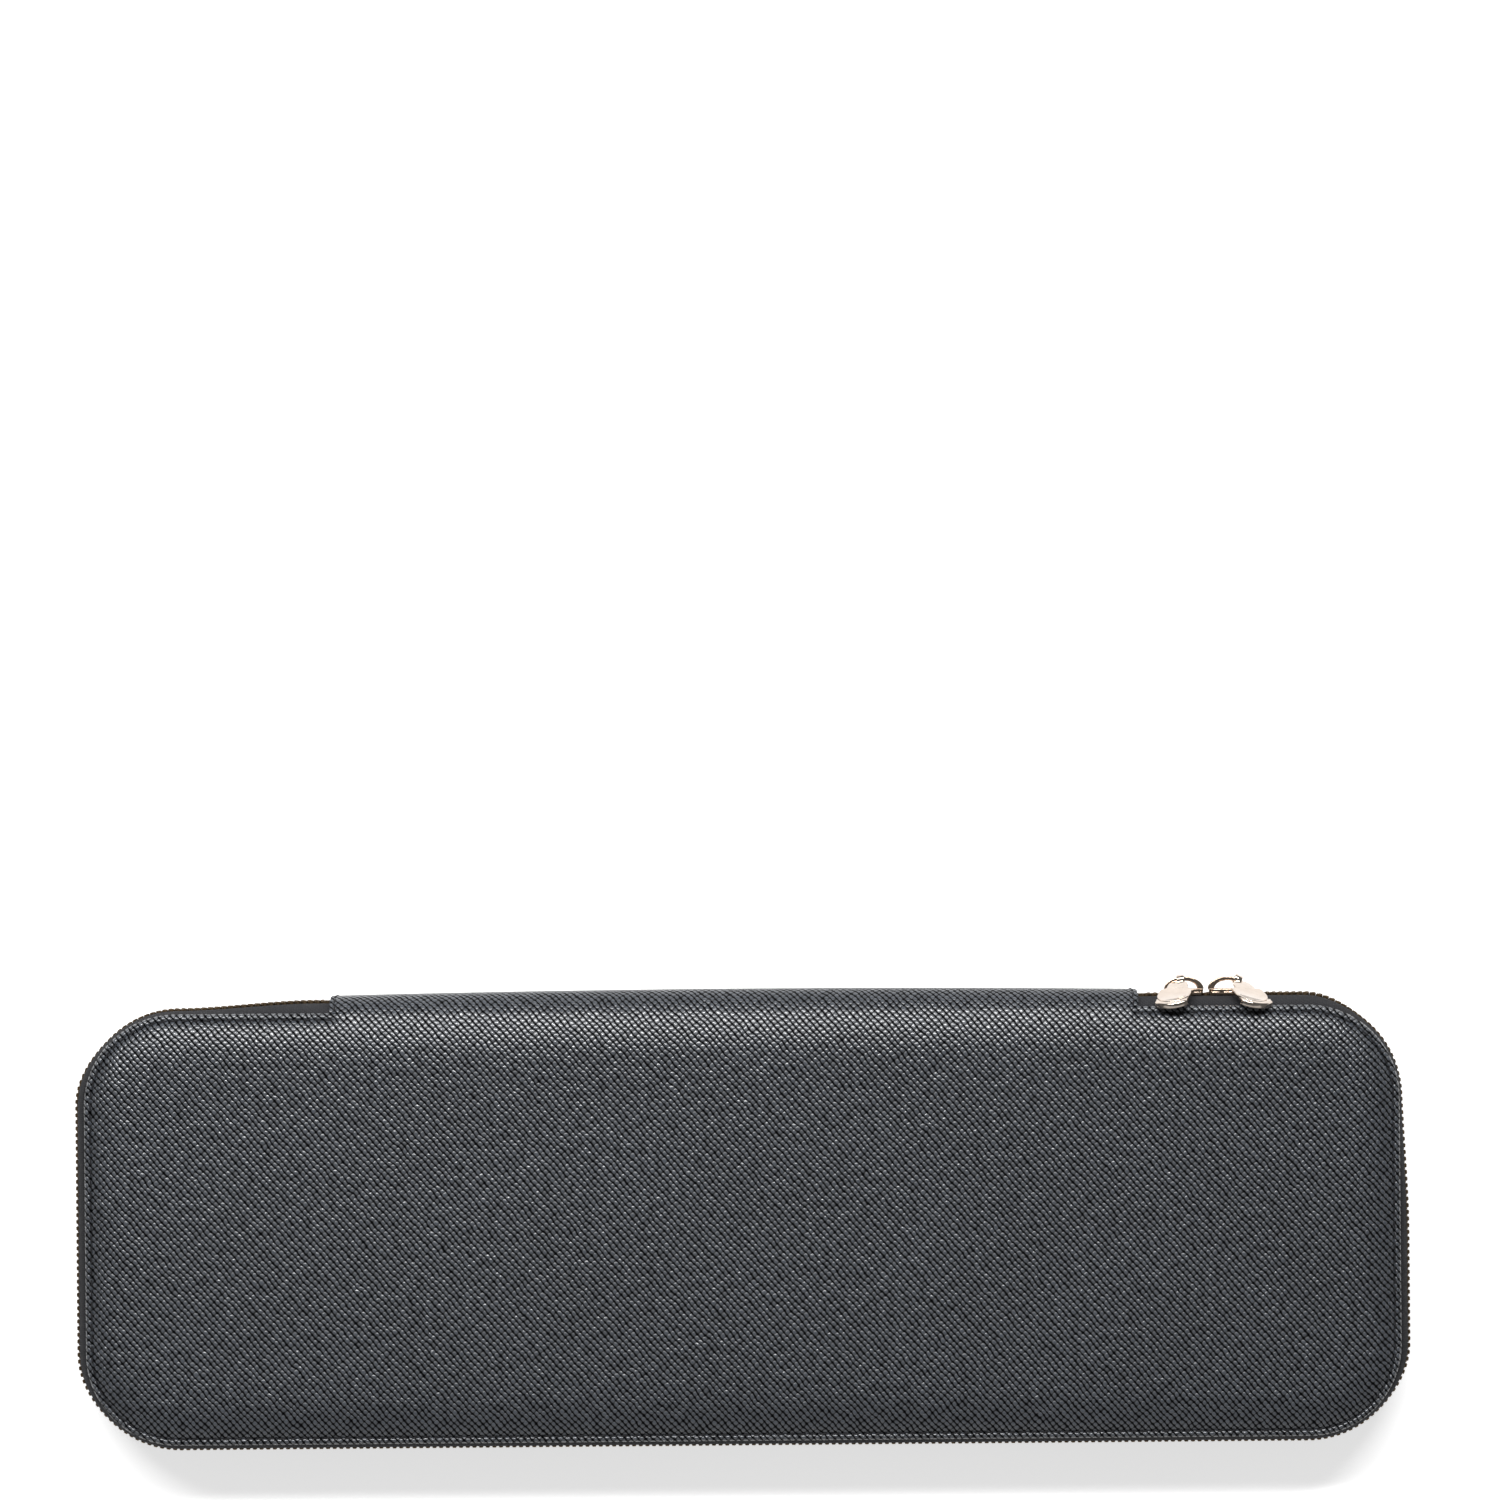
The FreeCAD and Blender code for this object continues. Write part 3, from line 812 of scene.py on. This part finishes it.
for side, shift in (("front", -tooth_pitch / 4), ("back", tooth_pitch / 4)):
    line = rim_stations(chain_offset, left_run_end, right_run_end, tooth_pitch)
    closed_line = (end_stations(-spine_left - end_stop_room, -left_run_end)
                   + end_stations(right_run_end, spine_right + end_stop_room))
    rows = {
        "teeth": line[tooth_steps:-tooth_steps],
        "left_parting_teeth": line[:tooth_steps],
        "right_parting_teeth": line[-tooth_steps:],
        "closed_teeth": closed_line,
    }
    stands_for = {"teeth": [side + "_zip_teeth"]}
    if side == "front":
        stands_for["closed_teeth"] = ["zip_end_teeth"]
    pieces = {}
    for name, stations in rows.items():
        row = teeth_on(stations, shift)
        if side == "back":
            to_back(row)
        pieces[name] = new_piece(side + "_" + name, row, [teeth_metal], stands_for.get(name, []))
    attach(pieces["teeth"], side + "_half")
    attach(pieces["closed_teeth"], "spine")
    zip_blend(pieces["left_parting_teeth"], side, -left_run_end, 1, parting, False)
    zip_blend(pieces["right_parting_teeth"], side, right_run_end, -1, parting, False)


# Sliders and pulls

def slider_shape():
    """A slider with its nose to +X: two plates, side walls with a slit for the tape, and an arched bow."""
    outline = [(-5.7, -2.9), (-5.0, -3.3), (-1.0, -3.5), (2.2, -3.9), (4.6, -3.5), (5.7, -2.2), (5.7, 2.2),
               (4.6, 3.5), (2.2, 3.9), (-1.0, 3.5), (-5.0, 3.3), (-5.7, 2.9)]
    outline = [(x * mm, z * mm + mid) for x, z in outline]
    plate_edge = 0.3 * mm
    wall = (10 * mm, 0.9 * mm, 0.8 * mm)
    post = (2.4 * mm, 3.2 * mm, 0.7 * mm)
    wall_edge = 0.15 * mm
    bm = plate(outline, 68.2 * mm, 69.25 * mm, plate_edge)
    joined(bm, plate(outline, 64.4 * mm, 65.4 * mm, plate_edge), 0)
    for z in (-3.25, 3.25):
        for y in (67.85, 65.75):
            joined(bm, block(wall, (0, y * mm, mid + z * mm), wall_edge), 0)
    joined(bm, block(post, (4.4 * mm, slider_middle, mid), wall_edge), 0)
    joined(bm, slider_bow(), 0)
    return bm


def slider_bow():
    """The arch that carries the pull: a strap spun over in a half turn, then drawn out along the slider."""
    bm = bmesh.new()
    reach = 0.2
    half = 0.85 * mm
    corners = [(1 - reach, -half), (1 + reach, -half), (1 + reach, half), (1 - reach, half)]
    strap = bm.faces.new([bm.verts.new((x, 0, z)) for x, z in corners])
    bmesh.ops.spin(bm, geom=[strap], cent=(0, 0, 0), axis=(0, 0, 1), angle=math.pi, steps=20, use_merge=False)
    bmesh.ops.remove_doubles(bm, verts=bm.verts, dist=0.01 * mm)
    bmesh.ops.recalc_face_normals(bm, faces=bm.faces)
    bmesh.ops.scale(bm, vec=(5.0 * mm, 3.2 * mm, 1), verts=bm.verts)
    corner_edges = [e for e in bm.edges if e.is_manifold and e.calc_face_angle() > 1]
    round_off(bm, corner_edges, 0.28 * mm, 3)
    bmesh.ops.translate(bm, vec=(0, 69.0 * mm, mid), verts=bm.verts)
    return bm


def end_arc(inset):
    """Half of a line that follows the pull's rounded end at a distance in from it, from the middle out."""
    steps = 8
    radius = pull_end_radius - inset
    widest = math.asin((pull_end_half - 0.1 * inset) / radius)
    line = []
    for step in range(steps + 1):
        angle = widest * step / steps
        line.append((radius * math.sin(angle), pull_end_centre + radius * math.cos(angle)))
    return line


def pull_plate(half_outline, half_thick, bevel):
    """A flat plate in the XY plane with rounded edges, alike to both sides of Y."""
    outline = half_outline + [(-w, u) for w, u in reversed(half_outline) if w > 0]
    bm = bmesh.new()
    bm.faces.new([bm.verts.new((w * mm, u * mm, -half_thick * mm)) for w, u in outline])
    raise_faces(bm, (0, 0, 2 * half_thick * mm))
    bmesh.ops.recalc_face_normals(bm, faces=bm.faces)
    rims = [edge for edge in bm.edges if abs(edge.verts[0].co.z - edge.verts[1].co.z) < 0.1 * mm]
    round_off(bm, rims, bevel * mm, 3)
    return bm


def pull_blade():
    """The paddle: a thin neck, a thicker blade with a sunk face, and past a slit a thick lip at its end."""
    shoulder = [(0, 6.5), (3.7, 6.55), (4.4, 6.75), (4.8, 7.15), (5.0, 7.8), (5.1, 11)]
    blade = pull_plate(shoulder + end_arc(2.2)[::-1], 0.7, 0.3)
    broad = sorted(blade.faces, key=lambda face: face.calc_area())[-2:]
    bmesh.ops.inset_individual(blade, faces=broad, thickness=0.3 * mm, depth=0, use_even_offset=True)
    bmesh.ops.inset_individual(blade, faces=broad, thickness=0.2 * mm, depth=-0.12 * mm, use_even_offset=True)
    neck = []
    for turn in range(0, 105, 15):
        angle = math.radians(turn)
        neck.append((neck_radius * math.sin(angle), neck_centre - neck_radius * math.cos(angle)))
    joined(blade, pull_plate(neck + [(3.3, 7.4), (0, 7.4)], 0.45, 0.2), 0)
    joined(blade, pull_plate(end_arc(2.5) + end_arc(1.2)[::-1], 0.35, 0.1), 0)
    joined(blade, pull_plate(end_arc(1.75) + end_arc(0)[::-1], 1.0, 0.55), 0)
    return blade


def pull_shape(slope, along, across):
    """A paddle on an eye that rings the bow's shoulder, laid over to -X."""
    eye = bmesh.new()
    section = [(-1.2, 1.0), (1.2, 1.0), (1.2, 1.55), (-1.2, 1.55)]
    ring = eye.faces.new([eye.verts.new((x * mm, r * mm, 0)) for x, r in section])
    round_off(eye, ring.verts[:], 0.25 * mm, 3, "VERTICES")
    bmesh.ops.spin(eye, geom=eye.edges[:] + eye.verts[:], cent=(0, 0, 0), axis=(1, 0, 0), angle=2 * math.pi,
                   steps=24, use_merge=True)
    for face in [face for face in eye.faces if len(face.verts) > 4]:
        bmesh.ops.delete(eye, geom=[face], context="FACES_ONLY")
    bmesh.ops.rotate(eye, matrix=Matrix.Rotation(math.radians(slope), 3, "Z"), verts=eye.verts)
    blade = pull_blade()
    lie = Matrix((across, along, across.cross(along))).transposed()
    bmesh.ops.rotate(blade, matrix=lie, verts=blade.verts)
    joined(eye, blade, 0)
    return eye


left_lie = (7.6, Vector((-0.25, -0.42, 0.872)).normalized(), Vector((0.948, 0.076, 0.308)).normalized())
right_lie = (26.5, Vector((-0.3, -0.42, 0.857)).normalized(), Vector((0.929, 0.074, 0.361)).normalized())
left_eye = Vector((-1 * mm, 71.85 * mm, mid))
right_eye = Vector((-3.1 * mm, 71.7 * mm, mid))
for name, middle, nose, eye, lie in (("left", left_slider_x, 1, left_eye, left_lie),
                                     ("right", right_slider_x, -1, right_eye, right_lie)):
    body = slider_shape()
    bmesh.ops.scale(body, vec=(nose, 1, 1), verts=body.verts)
    bmesh.ops.translate(body, vec=(middle, 0, 0), verts=body.verts)
    slider = new_piece(name + "_slider_body", body, [slider_metal], [name + "_slider"])
    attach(slider, name + "_slider")
    tab = pull_shape(*lie)
    bmesh.ops.translate(tab, vec=eye, verts=tab.verts)
    bmesh.ops.scale(tab, vec=(nose, 1, 1), verts=tab.verts)
    bmesh.ops.translate(tab, vec=(middle, 0, 0), verts=tab.verts)
    pull = new_piece(name + "_pull_tab", tab, [pull_metal], [name + "_pull"])
    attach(pull, name + "_pull")


# Lining

def lining_sheet():
    """The cover's lining: a thin sheet with the cover's outline, let in for the fold over the spine."""
    bm = bmesh.new()
    reach_x = half_length - lining_inset
    reach_y = half_width - lining_inset
    corners = [(-reach_x, -reach_y), (reach_x, -reach_y), (reach_x, reach_y), (-reach_x, reach_y)]
    bm.faces.new([bm.verts.new((x, y, lining_level)) for x, y in corners])
    round_off(bm, bm.verts[:], corner_radius - lining_inset, 20, "VERTICES")
    for point, way in (((-spine_left, 0, 0), (1, 0, 0)), ((spine_right, 0, 0), (1, 0, 0)),
                       ((0, lining_bend_y, 0), (0, 1, 0))):
        bmesh.ops.bisect_plane(bm, geom=bm.verts[:] + bm.edges[:] + bm.faces[:], plane_co=point, plane_no=way)
    notch = []
    for face in bm.faces:
        centre = face.calc_center_median()
        if centre.y > lining_bend_y and -spine_left < centre.x < spine_right:
            notch.append(face)
    bmesh.ops.delete(bm, geom=notch, context="FACES")
    bmesh.ops.recalc_face_normals(bm, faces=bm.faces)
    raise_faces(bm, (0, 0, -lining))
    return bm


def spine_lining_place(along, across):
    x = -spine_left + 0.5 * mm + (spine_left + spine_right - 1 * mm) * along
    arc = lining_bend * math.pi / 2
    reach = (arc + lining_bend_z - mid) * across
    angle = math.pi / 2 - min(reach, arc) / lining_bend
    return Vector((x, lining_bend_y + lining_bend * math.cos(angle),
                   lining_bend_z + lining_bend * math.sin(angle) - max(reach - arc, 0)))


def plain_chart(along, across):
    return ((spine_left + spine_right) * along, lining_bend * 2.5 * across)


for side in ("front", "back"):
    sheet = lining_sheet()
    strip = mapped_grid(60, 12, spine_lining_place, plain_chart)
    thicken(strip, lining)
    if side == "back":
        to_back(sheet)
        to_back(strip)
    piece = new_piece(side + "_lining_cloth", sheet, [lining_cloth], [side + "_lining"])
    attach(piece, side + "_half")
    fold = new_piece(side + "_spine_lining_cloth", strip, [lining_cloth],
                     [side + "_fold_lining"] + (["spine_lining"] if side == "front" else []))
    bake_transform(fold)


# Elastic pen loops

def band_line():
    """The band's outer side across the case, in (y, z): flat where it is sewn down, arched over each pen."""
    base = floor_level + elastic
    top = floor_level + loop_height
    first = -loop_pitch * lanes / 2
    line = [(first - 1.4 * mm, base)]
    for lane in range(lanes):
        centre = first + loop_pitch * (lane + 0.5)
        line.append((centre - loop_half - 0.6 * mm, base))
        line.append((centre - loop_half, base + 1.2 * mm))
        for step in range(13):
            angle = math.pi * (1 - step / 12)
            line.append((centre + loop_half * math.cos(angle), top - loop_half * (1 - math.sin(angle))))
        line.append((centre + loop_half, base + 1.2 * mm))
        line.append((centre + loop_half + 0.6 * mm, base))
    line.append((-first + 1.4 * mm, base))
    return line


def elastic_band(x):
    line = band_line()
    steps = len(line) - 1
    lengths = [0]
    for (y, z), (after_y, after_z) in zip(line, line[1:]):
        lengths.append(lengths[-1] + math.hypot(after_y - y, after_z - z))

    def place(along, across):
        y, z = line[round(along * steps)]
        rise = (z - floor_level) / loop_height
        waist = 1 - 0.05 * rise
        return Vector((x + loop_band * (across - 0.5) * waist, y, z))

    def chart(along, across):
        return (lengths[round(along * steps)], loop_band * across)

    bm = mapped_grid(steps, 8, place, chart)
    thicken(bm, -elastic * 0.85)
    return bm, (lengths[-1], loop_band)


def foot_stitches(x):
    """A row of six stitches of thread on every foot of a band."""
    places = []
    first = -loop_pitch * lanes / 2
    for foot in range(lanes + 1):
        for step in range(6):
            point = Vector((x + (step - 2.5) * 2.8 * mm, first + loop_pitch * foot, floor_level + elastic))
            places.append(facing(point, Vector((1, 0, 0)), Vector((0, 1, 0))))
    return repeated(stitch(), places)


for name, x in loop_columns.items():
    band, flat = elastic_band(x * mm)
    piece = new_piece(name + "_elastic_band", band, [elastic_cloth], [name + "_pen_loops"])
    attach(piece, "back_half")
    sewing = new_piece(name + "_band_stitches", foot_stitches(x * mm), [thread])
    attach(sewing, "back_half")


# Slip pocket on the front cover's lining

def pocket_panel():
    size = pocket_high - pocket_low
    return block(size, (pocket_low + pocket_high) / 2, 0.3 * mm)


def pocket_stitches():
    places = []
    inset = 2 * mm
    level = pocket_low.z + 0.02 * mm
    left = pocket_low.x + inset
    right = pocket_high.x - inset
    low = pocket_low.y + inset
    high = pocket_high.y - inset
    count_x = round((right - left) / stitch_pitch)
    count_y = round((high - low) / stitch_pitch)
    for index in range(count_x):
        x = left + (right - left) * (index + 0.5) / count_x
        places.append(facing(Vector((x, low, level)), Vector((1, 0, 0)), Vector((0, 1, 0))))
    for index in range(count_y):
        y = low + (high - low) * (index + 0.5) / count_y
        for x in (left, right):
            places.append(facing(Vector((x, y, level)), Vector((0, 1, 0)), Vector((-1, 0, 0))))
    return repeated(stitch(), places)


panel = pocket_panel()
joined(panel, pocket_stitches(), 1)
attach(new_piece("pocket_panel", panel, [pocket_skin, thread], ["slip_pocket"]), "front_half")
mouth_size = Vector((pocket_high.x - pocket_low.x, 4 * mm, 0.5 * mm))
mouth_middle = Vector(((pocket_low.x + pocket_high.x) / 2, pocket_high.y - 2 * mm, pocket_low.z - 0.25 * mm))
mouth = block(mouth_size, mouth_middle, 0.2 * mm, 3)
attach(new_piece("pocket_mouth_binding", mouth, [leather_edge], ["pocket_binding"]), "front_half")


# Solids that stay as they are

kept = {
    "front_lining_card": board_stuff, "back_lining_card": board_stuff, "spine_board": board_stuff,
    "zip_end_stops": teeth_metal,
}
for name, material in kept.items():
    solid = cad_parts[name]
    solid.data.materials.clear()
    solid.data.materials.append(material)


# Stage, light and camera

def white_lift(tree):
    """What the floor adds for rays that should see a white surround: less for those that metal mirrors."""
    rays = node(tree, "ShaderNodeLightPath").outputs
    mirrored = sum_of(tree, "MAXIMUM", rays["Is Glossy Ray"], rays["Is Transmission Ray"])
    seen = sum_of(tree, "MULTIPLY", rays["Is Camera Ray"], 0.6)
    return sum_of(tree, "MULTIPLY_ADD", mirrored, 0.38, seen)


def pale_floor():
    material = bpy.data.materials.new("pale_floor")
    material.use_nodes = True
    tree = material.node_tree
    tree.nodes.clear()
    matt = node(tree, "ShaderNodeBsdfDiffuse", {"Color": (0.86, 0.86, 0.86, 1)}).outputs[0]
    glow = node(tree, "ShaderNodeEmission", {"Strength": white_lift(tree)}).outputs[0]
    both = node(tree, "ShaderNodeAddShader", {0: matt, 1: glow}).outputs[0]
    node(tree, "ShaderNodeOutputMaterial", {"Surface": both})
    return material


floor_mesh = bpy.data.meshes.new("floor")
floor_shape = bmesh.new()
bmesh.ops.create_grid(floor_shape, x_segments=1, y_segments=1, size=4)
floor_shape.to_mesh(floor_mesh)
floor_shape.free()
floor_mesh.materials.append(pale_floor())
floor = bpy.data.objects.new("floor", floor_mesh)
bpy.context.scene.collection.objects.link(floor)

world = bpy.data.worlds.new("studio")
world.use_nodes = True
bpy.context.scene.world = world
world.node_tree.nodes["Background"].inputs["Color"].default_value = (1, 1, 1, 1)
world.node_tree.nodes["Background"].inputs["Strength"].default_value = 0.14


def soft_light(name, place, target, width, height, energy):
    lamp = bpy.data.lights.new(name, "AREA")
    lamp.shape = "RECTANGLE"
    lamp.size = width
    lamp.size_y = height
    lamp.energy = energy
    holder = bpy.data.objects.new(name, lamp)
    holder.location = place
    holder.rotation_euler = (Vector(target) - Vector(place)).to_track_quat("-Z", "Y").to_euler()
    bpy.context.scene.collection.objects.link(holder)


soft_light("key", (-0.1, 0.82, 1.06), (0, 0, 0), 1.5, 0.16, 26)
soft_light("front_card", (0, -1.0, 0.55), (0, 0, 0), 2.2, 0.6, 1.8)

camera_data = bpy.data.cameras.new("camera")
camera_data.sensor_width = 36
camera_data.lens = 127.6
camera_data.clip_end = 20
camera = bpy.data.objects.new("camera", camera_data)
camera.location = (3.4 * mm, 142.1 * mm, 1614 * mm)
camera.rotation_euler = (0, 0, math.radians(-0.5))
bpy.context.scene.collection.objects.link(camera)
bpy.context.scene.camera = camera
bpy.context.scene.view_settings.view_transform = "Standard"
